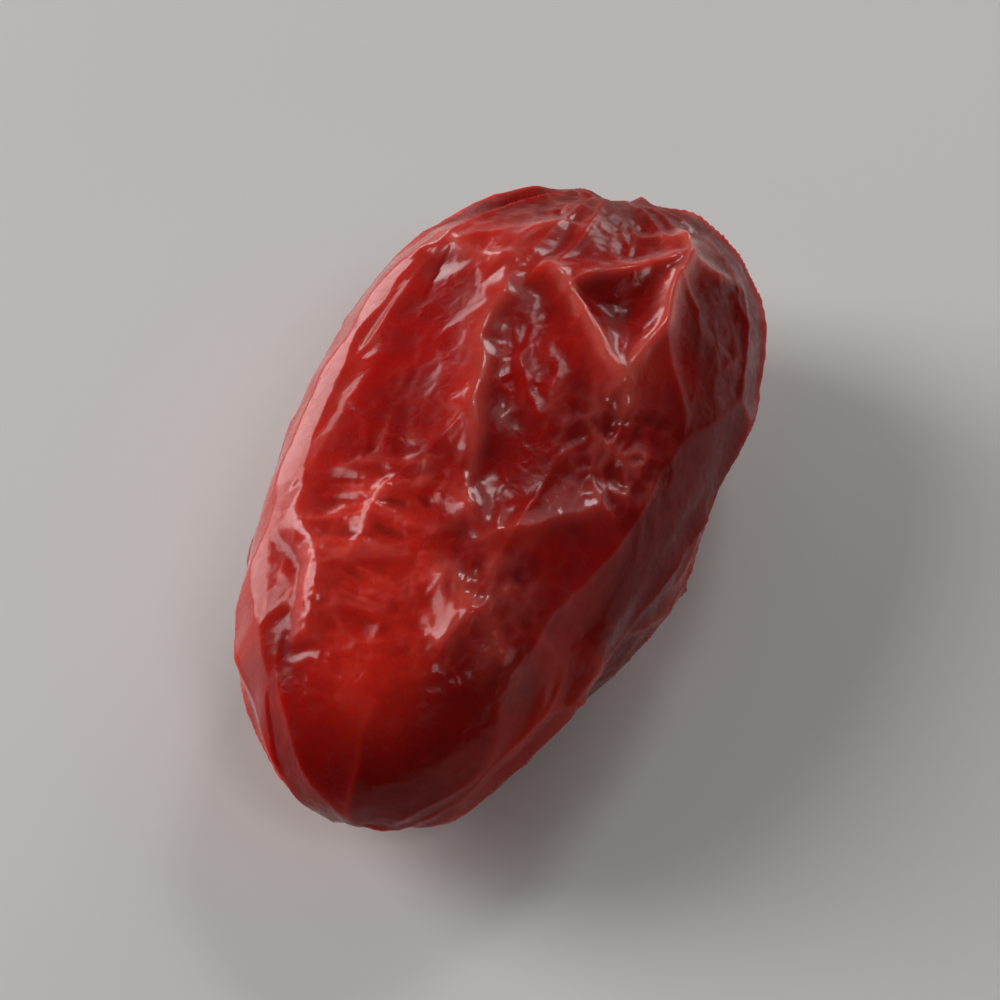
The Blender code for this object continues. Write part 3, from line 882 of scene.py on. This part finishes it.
def make_skin_finish(look, mottle, creases):
    """Deep red skin, glossy and see-through, with painted shade in its folds and on its flanks,
    lighter crests that are partly thinner skin and partly painted highlight, pale painted glints, and
    a painted glow on its left panel.
    """
    material = bpy.data.materials.new("cranberry_skin_finish")
    material.use_nodes = True
    tree = material.node_tree
    shader = tree.nodes["Principled BSDF"]
    place = place_in_millimetres(tree)
    folds = mark_of_mesh(tree, "folds")
    fine = mark_of_mesh(tree, "fine")
    along = mark_of_mesh(tree, "along")
    calm = mark_of_mesh(tree, "calm")
    film = mark_of_mesh(tree, "film")
    # Painted shade: how much the flanks and far shoulders are darkened
    darker = remap(tree, mark_of_mesh(tree, "darker"), 0, 0.4)
    wide = use_group(tree, mottle, place, WIDE_MOTTLE).outputs["Mask"]
    narrow = use_group(tree, mottle, place, NARROW_MOTTLE).outputs["Mask"]
    leather = use_group(tree, creases, place, LEATHER_CELL)

    patches = calculate(tree, "MULTIPLY", wide, 0.55)
    patches = calculate(tree, "ADD", patches, calculate(tree, "MULTIPLY", narrow, 0.25))
    colour = blend_colours(tree, patches, tuple(look.ruby), tuple(look.wine))
    # Round the flower end the colour turns to a darker orange red, whose darkness is painted shade.
    near_flower = calculate(
        tree, "MULTIPLY", remap(tree, along, 0.55, 0.92), remap(tree, narrow, 0, 1, 0.55, 1.0)
    )
    colour = blend_colours(tree, near_flower, colour, tuple(look.flower_end))
    # Painted glow: the left panel is brightened to an orange red, as if lit from within.
    glow = remap(tree, mark_of_mesh(tree, "glow"), 0, 0.8)
    glow = calculate(tree, "MULTIPLY", glow, remap(tree, narrow, 0, 1, 0.6, 0.95))
    colour = blend_colours(tree, glow, colour, tuple(look.painted_glow_colour))
    # Darker deep red at the stem end, and painted shade on the flanks and far shoulders.
    stem_red_and_painted_shade = calculate(tree, "MAXIMUM", remap(tree, along, -0.72, -1.0), darker)
    stem_red_and_painted_shade = calculate(tree, "MULTIPLY", stem_red_and_painted_shade, 0.9)
    colour = blend_colours(tree, stem_red_and_painted_shade, colour, tuple(look.stem_end))
    # Painted shade: darker red down in the sunken folds and in the fine creases.
    deep = remap(tree, folds, -0.05, -0.42, 0.0, 0.75)
    colour = blend_colours(tree, deep, colour, tuple(look.painted_fold_shade))
    fine_crease_shade = remap(tree, fine, 0.0, -0.06, 0.0, 0.45)
    colour = blend_colours(tree, fine_crease_shade, colour, tuple(look.painted_fold_shade))
    # Lighter red on the fold crests, partly thinner skin and partly painted highlight.
    high = remap(tree, folds, 0.08, 0.34, 0.0, 0.6)
    colour = blend_colours(tree, high, colour, tuple(look.thin_skin_and_highlight))
    # Painted highlight: pale pink glints on the named ridges' crests and on the fine wrinkles' crests.
    fine_crest_glint = remap(tree, fine, 0.005, 0.06, 0.0, 0.28)
    pale = calculate(tree, "MAXIMUM", mark_of_mesh(tree, "pale"), fine_crest_glint)
    colour = blend_colours(tree, pale, colour, tuple(look.painted_glint))
    # Painted shade, faint, along the lines between the tiny leathery cells; the same lines also
    # roughen the skin.
    lines = calculate(tree, "MULTIPLY", leather.outputs["Lines"], 0.10)
    colour = blend_colours(tree, lines, colour, tuple(look.painted_fold_shade))
    feed(tree, shader.inputs["Base Color"], colour)

    dull = calculate(tree, "ADD", lines, remap(tree, narrow, 0, 1, -0.07, 0.07))
    dull = calculate(tree, "ADD", dull, calculate(tree, "MULTIPLY", calm, -0.06))
    dull = calculate(tree, "ADD", dull, calculate(tree, "MULTIPLY", near_flower, 0.12))
    dull = calculate(tree, "ADD", dull, remap(tree, mark_of_mesh(tree, "netted"), 0, 1, 0, 0.10))
    feed(tree, shader.inputs["Roughness"], calculate(tree, "ADD", dull, look.roughness))

    wet = calculate(tree, "MULTIPLY", film, remap(tree, narrow, 0, 1, 0.7, 1))
    coat = remap(tree, wide, 0, 1, 0.08, 0.28)
    coat = calculate(tree, "MULTIPLY", coat, remap(tree, calm, 0, 0.7, 1, 0))
    coat = calculate(tree, "MULTIPLY", coat, calculate(tree, "SUBTRACT", 1.0, near_flower))
    coat = calculate(tree, "MAXIMUM", coat, wet)
    feed(tree, shader.inputs["Coat Weight"], coat)
    shader.inputs["Coat Roughness"].default_value = 0.10
    shader.inputs["Coat IOR"].default_value = 1.45
    shader.inputs["IOR"].default_value = 1.34
    shader.inputs["Specular IOR Level"].default_value = 0.30
    shader.inputs["Subsurface Weight"].default_value = 1.0
    shader.inputs["Subsurface Radius"].default_value = (1.0, 0.05, 0.03)
    shader.inputs["Subsurface Scale"].default_value = look.see_through

    feed(tree, shader.inputs["Normal"], raise_by(tree, leather.outputs["Height"], 0.010 * MM, 0.5))
    return material


def make_floor_finish(stage, mottle):
    """A plain pale surface, almost even."""
    material = bpy.data.materials.new("floor_finish")
    material.use_nodes = True
    tree = material.node_tree
    shader = tree.nodes["Principled BSDF"]
    soft = use_group(tree, mottle, place_in_millimetres(tree), FLOOR_MOTTLE).outputs["Mask"]
    pale = tuple(stage.floor_colour)
    paler = tuple(min(1.0, 1.02 * part) for part in pale)
    feed(tree, shader.inputs["Base Color"], blend_colours(tree, soft, pale, paler))
    feed(tree, shader.inputs["Roughness"], remap(tree, soft, 0, 1, 0.62, 0.7))
    return material


def shader_group(name, make):
    """The group of this name, made the first time that it is asked for."""
    return bpy.data.node_groups.get(name) or make()


class CRANBERRY_OT_skin(bpy.types.Operator):
    """Make the wrinkled skin in place of the berry's solid"""

    bl_idname = "cranberry.skin"
    bl_label = "Wrinkled Skin"
    bl_options = {"REGISTER", "UNDO"}

    def execute(self, context):
        scene = context.scene
        mesh = make_skin_mesh("cranberry_skin", scene.cranberry_form)
        if len(mesh.polygons) * 2 > MOST_TRIANGLES:
            raise RuntimeError(f"the skin has more than {MOST_TRIANGLES:,} triangles")
        mottle = shader_group("soft_mottle", make_mottle_group)
        creases = shader_group("leather_creases", make_crease_group)
        mesh.materials.append(make_skin_finish(scene.cranberry_look, mottle, creases))
        piece = bpy.data.objects.new("cranberry_skin", mesh)
        scene.collection.objects.link(piece)
        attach(piece, "root")
        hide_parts("cranberry")
        return {"FINISHED"}


def direction(azimuth, elevation):
    """The way from the berry to something that stands round to the right and above the horizon."""
    level = math.cos(elevation)
    return Vector(
        (math.sin(azimuth) * level, -math.cos(azimuth) * level, math.sin(elevation))
    )


def look_along(item, way):
    item.rotation_mode = "QUATERNION"
    item.rotation_quaternion = way.to_track_quat("-Z", "Y")


def add_floor(scene):
    stage = scene.cranberry_stage
    sheet = bmesh.new()
    bmesh.ops.create_grid(sheet, x_segments=1, y_segments=1, size=stage.floor_width / 2)
    mesh = bpy.data.meshes.new("floor")
    sheet.to_mesh(mesh)
    sheet.free()
    mesh.materials.append(
        make_floor_finish(stage, shader_group("soft_mottle", make_mottle_group))
    )
    floor = bpy.data.objects.new("floor", mesh)
    floor.location.z = NODE_LOW.z - FLOOR_GAP
    scene.collection.objects.link(floor)


# Each light's azimuth and elevation are in degrees, its sides in metres and its power in watts
Softbox = namedtuple("Softbox", "name azimuth elevation width height power")
SOFTBOXES = (
    Softbox("window_light", -104, 30, 0.24, 0.36, 1.55),
    Softbox("low_window_light", -132, 6, 0.62, 0.11, 0.82),
    Softbox("back_light", 158, 50, 0.10, 0.07, 0.21),
    Softbox("soft_back_light", 146, 40, 0.24, 0.22, 0.09),
    Softbox("low_back_light", 150, 14, 0.20, 0.14, 0.36),
    Softbox("fill_light", 30, 60, 0.12, 0.12, 0.22),
)


def add_softbox(scene, box, target):
    """A soft rectangular light; its azimuth counts from the camera's, to the right."""
    light = bpy.data.lights.new(box.name, "AREA")
    light.shape = "RECTANGLE"
    light.size, light.size_y = box.width, box.height
    light.energy = box.power
    item = bpy.data.objects.new(box.name, light)
    azimuth = scene.cranberry_stage.azimuth + math.radians(box.azimuth)
    way = direction(azimuth, math.radians(box.elevation))
    item.location = target + way * scene.cranberry_stage.light_distance
    look_along(item, -way)
    scene.collection.objects.link(item)


def add_surroundings(scene):
    world = bpy.data.worlds.new("surroundings")
    world.use_nodes = True
    background = world.node_tree.nodes["Background"]
    background.inputs["Color"].default_value = (1.0, 0.99, 0.97, 1)
    background.inputs["Strength"].default_value = scene.cranberry_stage.surroundings
    scene.world = world


def add_camera(scene, target):
    stage = scene.cranberry_stage
    camera = bpy.data.cameras.new("camera")
    camera.lens = stage.focal_length
    camera.clip_start, camera.clip_end = MM, 10.0
    item = bpy.data.objects.new("camera", camera)
    way = direction(stage.azimuth, stage.elevation)
    item.location = target + way * stage.frame_width * camera.lens / camera.sensor_width
    look_along(item, -way)
    scene.collection.objects.link(item)
    scene.camera = item


class CRANBERRY_OT_stage(bpy.types.Operator):
    """Make the floor, the soft lights and the camera"""

    bl_idname = "cranberry.stage"
    bl_label = "Floor, Lights and Camera"
    bl_options = {"REGISTER", "UNDO"}

    def execute(self, context):
        scene = context.scene
        target = (NODE_LOW + NODE_HIGH) / 2
        add_floor(scene)
        for box in SOFTBOXES:
            add_softbox(scene, box, target)
        add_surroundings(scene)
        add_camera(scene, target)
        scene.view_settings.view_transform = "Standard"
        return {"FINISHED"}


class CRANBERRY_PT_sidebar(bpy.types.Panel):
    """The berry's pieces and their settings."""

    bl_idname = "CRANBERRY_PT_sidebar"
    bl_label = "Dried Cranberry"
    bl_space_type = "VIEW_3D"
    bl_region_type = "UI"
    bl_category = "Cranberry"

    def draw(self, context):
        scene = context.scene
        for operator, settings in (
            (CRANBERRY_OT_skin, (scene.cranberry_form, scene.cranberry_look)),
            (CRANBERRY_OT_stage, (scene.cranberry_stage,)),
        ):
            box = self.layout.box()
            box.operator(operator.bl_idname)
            for group in settings:
                for name in group.__annotations__:
                    box.prop(group, name)


CLASSES = (
    CranberryForm,
    CranberryLook,
    CranberryStage,
    CRANBERRY_OT_skin,
    CRANBERRY_OT_stage,
    CRANBERRY_PT_sidebar,
)


def register():
    for each in CLASSES:
        bpy.utils.register_class(each)
    bpy.types.Scene.cranberry_form = PointerProperty(type=CranberryForm)
    bpy.types.Scene.cranberry_look = PointerProperty(type=CranberryLook)
    bpy.types.Scene.cranberry_stage = PointerProperty(type=CranberryStage)


def unregister():
    del bpy.types.Scene.cranberry_stage
    del bpy.types.Scene.cranberry_look
    del bpy.types.Scene.cranberry_form
    for each in reversed(CLASSES):
        bpy.utils.unregister_class(each)


def main():
    register()
    bpy.ops.cranberry.skin()
    bpy.ops.cranberry.stage()


if __name__ == "__main__":
    main()
